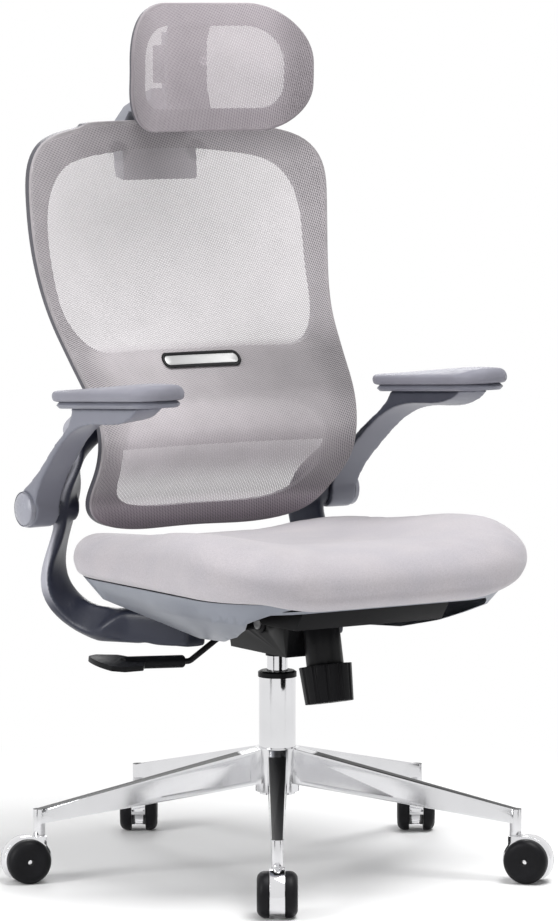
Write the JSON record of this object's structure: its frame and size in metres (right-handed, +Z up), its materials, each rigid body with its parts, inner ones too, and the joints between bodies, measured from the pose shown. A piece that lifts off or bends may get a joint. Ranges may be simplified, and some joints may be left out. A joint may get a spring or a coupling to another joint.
{
  "type": "office chair",
  "caption": "High-back mesh swivel chair with headrest, flip-up armrests, lift column, tilt mechanism and a five-leg castor base.",
  "frame": {"origin": "on the floor under the axis of the lift column", "axes": "+Z up, -Y the way the sitter faces, +X to the left hand of the sitter"},
  "size_m": [0.7325, 0.7168, 1.169],
  "materials": {
    "polished": "polished",
    "chrome": "polished",
    "black_metal": "satin",
    "steel": "machined",
    "black_plastic": "fine texture",
    "frame_plastic": "satin",
    "arm_plastic": "satin",
    "bar_plastic": "satin",
    "shell_plastic": "satin",
    "pad_foam": "soft skin",
    "mesh_fabric": "woven mesh",
    "seat_fabric": "knitted",
    "tread": "smooth",
    "trim_metal": "satin",
    "board": "plain"
  },
  "bodies": {
    "base": {"star_base": "polished", "lift_outer_tube": "chrome", "lift_collar": "black_plastic", "lift_guide_bush": "black_plastic", "lift_thrust_bearing": "steel", "caster_stems": "steel"},
    "lift_rod": {"lift_piston_rod": "steel"},
    "column": {"lift_cylinder": "chrome", "column_sleeve": "black_plastic", "mech_housing": "black_metal", "tilt_spindle": "steel", "tension_spring": "steel", "tension_bolt": "steel"},
    "valve_button": {"valve_button": "black_plastic"},
    "lever_bush": {"lever_bush": "black_plastic"},
    "lever": {"lever_rod": "black_metal", "lever_grip": "black_plastic"},
    "tension_knob": {"tension_knob": "black_plastic"},
    "seat_frame": {"tilt_plate": "black_metal", "seat_shell": "shell_plastic", "seat_pan": "black_plastic", "seat_board": "board", "seat_cushion": "seat_fabric", "seat_bolts": "steel", "side_bar_left": "bar_plastic", "side_bar_right": "bar_plastic", "back_frame": "frame_plastic", "back_mesh": "mesh_fabric", "waist_bridge": "black_plastic", "trim_surround": "black_plastic", "trim_bar": "trim_metal", "back_screws": "steel", "arm_pivot_bolts": "steel", "headrest_bracket": "arm_plastic"},
    "headrest_slider": {"headrest_slider": "black_plastic"},
    "headrest": {"headrest_frame": "frame_plastic", "headrest_mesh": "mesh_fabric"},
    "arm_left": {"arm_left": "arm_plastic", "arm_plate_left": "arm_plastic", "arm_pad_left": "pad_foam", "arm_cap_left": "arm_plastic"},
    "arm_right": {"arm_right": "arm_plastic", "arm_plate_right": "arm_plastic", "arm_pad_right": "pad_foam", "arm_cap_right": "arm_plastic"},
    "caster_1": {"caster_1_fork": "chrome"},
    "caster_1_wheel_a": {"caster_1_wheel_a": "tread"},
    "caster_1_wheel_b": {"caster_1_wheel_b": "tread"},
    "caster_2": {"caster_2_fork": "chrome"},
    "caster_2_wheel_a": {"caster_2_wheel_a": "tread"},
    "caster_2_wheel_b": {"caster_2_wheel_b": "tread"},
    "caster_3": {"caster_3_fork": "chrome"},
    "caster_3_wheel_a": {"caster_3_wheel_a": "tread"},
    "caster_3_wheel_b": {"caster_3_wheel_b": "tread"},
    "caster_4": {"caster_4_fork": "chrome"},
    "caster_4_wheel_a": {"caster_4_wheel_a": "tread"},
    "caster_4_wheel_b": {"caster_4_wheel_b": "tread"},
    "caster_5": {"caster_5_fork": "chrome"},
    "caster_5_wheel_a": {"caster_5_wheel_a": "tread"},
    "caster_5_wheel_b": {"caster_5_wheel_b": "tread"}
  },
  "joints": [
    {"name": "lift_swivel", "type": "hinge", "parent": "base", "child": "lift_rod", "pos_m": [0, 0, 0.15], "axis": [0, 0, 1], "continuous": true},
    {"name": "lift_slide", "type": "slide", "parent": "lift_rod", "child": "column", "axis": [0, 0, 1], "range_m": [0, 0.085]},
    {"name": "seat_tilt", "type": "hinge", "parent": "column", "child": "seat_frame", "pos_m": [0, -0.034, 0.342], "axis": [-1, 0, 0], "range_deg": [0, 15], "stiffness_Nm_per_rad": 60, "springref_deg": -28.65},
    {"name": "lever_rock", "type": "hinge", "parent": "column", "child": "lever_bush", "pos_m": [-0.051, 0, 0.339], "axis": [0, 1, 0], "range_deg": [0, 5.5], "stiffness_Nm_per_rad": 0.6, "springref_deg": -22.92},
    {"name": "lever_pull", "type": "slide", "parent": "lever_bush", "child": "lever", "axis": [-1, 0, 0], "range_m": [0, 0.008]},
    {"name": "valve_press", "type": "slide", "parent": "column", "child": "valve_button", "axis": [0, 0, -1], "range_m": [0, 0.0056]},
    {"name": "knob_turn", "type": "hinge", "parent": "column", "child": "tension_knob", "pos_m": [0, -0.104, 0.354], "axis": [0, 0.2079, 0.9781], "continuous": true},
    {"name": "arm_left_flip", "type": "hinge", "parent": "seat_frame", "child": "arm_left", "pos_m": [-0.224, 0.226, 0.485], "axis": [-0.9962, -0.0872, 0], "range_deg": [0, 90]},
    {"name": "arm_right_flip", "type": "hinge", "parent": "seat_frame", "child": "arm_right", "pos_m": [0.224, 0.226, 0.485], "axis": [-0.9962, 0.0872, 0], "range_deg": [0, 90]},
    {"name": "headrest_lift", "type": "slide", "parent": "seat_frame", "child": "headrest_slider", "axis": [0, 0, 1], "range_m": [0, 0.04]},
    {"name": "headrest_tilt", "type": "hinge", "parent": "headrest_slider", "child": "headrest", "pos_m": [0, 0.248, 1.085], "axis": [-1, 0, 0], "range_deg": [-12, 25]},
    {"name": "caster_1_swivel", "type": "hinge", "parent": "base", "child": "caster_1", "pos_m": [-0.18245, -0.28096, 0.05], "axis": [0, 0, 1], "continuous": true},
    {"name": "caster_1_wheel_a_roll", "type": "hinge", "parent": "caster_1", "child": "caster_1_wheel_a", "pos_m": [-0.19226, -0.29605, 0.03], "axis": [-0.8387, 0.5446, 0], "continuous": true},
    {"name": "caster_1_wheel_b_roll", "type": "hinge", "parent": "caster_1", "child": "caster_1_wheel_b", "pos_m": [-0.19226, -0.29605, 0.03], "axis": [-0.8387, 0.5446, 0], "continuous": true},
    {"name": "caster_2_swivel", "type": "hinge", "parent": "base", "child": "caster_2", "pos_m": [0.21082, -0.26034, 0.05], "axis": [0, 0, 1], "continuous": true},
    {"name": "caster_2_wheel_a_roll", "type": "hinge", "parent": "caster_2", "child": "caster_2_wheel_a", "pos_m": [0.22215, -0.27433, 0.03], "axis": [-0.7771, -0.6293, 0], "continuous": true},
    {"name": "caster_2_wheel_b_roll", "type": "hinge", "parent": "caster_2", "child": "caster_2_wheel_b", "pos_m": [0.22215, -0.27433, 0.03], "axis": [-0.7771, -0.6293, 0], "continuous": true},
    {"name": "caster_3_swivel", "type": "hinge", "parent": "base", "child": "caster_3", "pos_m": [0.31275, 0.12005, 0.05], "axis": [0, 0, 1], "continuous": true},
    {"name": "caster_3_wheel_a_roll", "type": "hinge", "parent": "caster_3", "child": "caster_3_wheel_a", "pos_m": [0.32255, 0.13515, 0.03], "axis": [0.8387, -0.5446, 0], "continuous": true},
    {"name": "caster_3_wheel_b_roll", "type": "hinge", "parent": "caster_3", "child": "caster_3_wheel_b", "pos_m": [0.32255, 0.13515, 0.03], "axis": [0.8387, -0.5446, 0], "continuous": true},
    {"name": "caster_4_swivel", "type": "hinge", "parent": "base", "child": "caster_4", "pos_m": [-0.01753, 0.33454, 0.05], "axis": [0, 0, 1], "continuous": true},
    {"name": "caster_4_wheel_a_roll", "type": "hinge", "parent": "caster_4", "child": "caster_4_wheel_a", "pos_m": [-0.00773, 0.34964, 0.03], "axis": [0.8387, -0.5446, 0], "continuous": true},
    {"name": "caster_4_wheel_b_roll", "type": "hinge", "parent": "caster_4", "child": "caster_4_wheel_b", "pos_m": [-0.00773, 0.34964, 0.03], "axis": [0.8387, -0.5446, 0], "continuous": true},
    {"name": "caster_5_swivel", "type": "hinge", "parent": "base", "child": "caster_5", "pos_m": [-0.32359, 0.0867, 0.05], "axis": [0, 0, 1], "continuous": true},
    {"name": "caster_5_wheel_a_roll", "type": "hinge", "parent": "caster_5", "child": "caster_5_wheel_a", "pos_m": [-0.34097, 0.09136, 0.03], "axis": [0.2588, 0.9659, 0], "continuous": true},
    {"name": "caster_5_wheel_b_roll", "type": "hinge", "parent": "caster_5", "child": "caster_5_wheel_b", "pos_m": [-0.34097, 0.09136, 0.03], "axis": [0.2588, 0.9659, 0], "continuous": true}
  ],
  "couplings": [
    {"joint": "valve_press", "follows": "lever_rock", "m_per_rad": 0.0555}
  ]
}
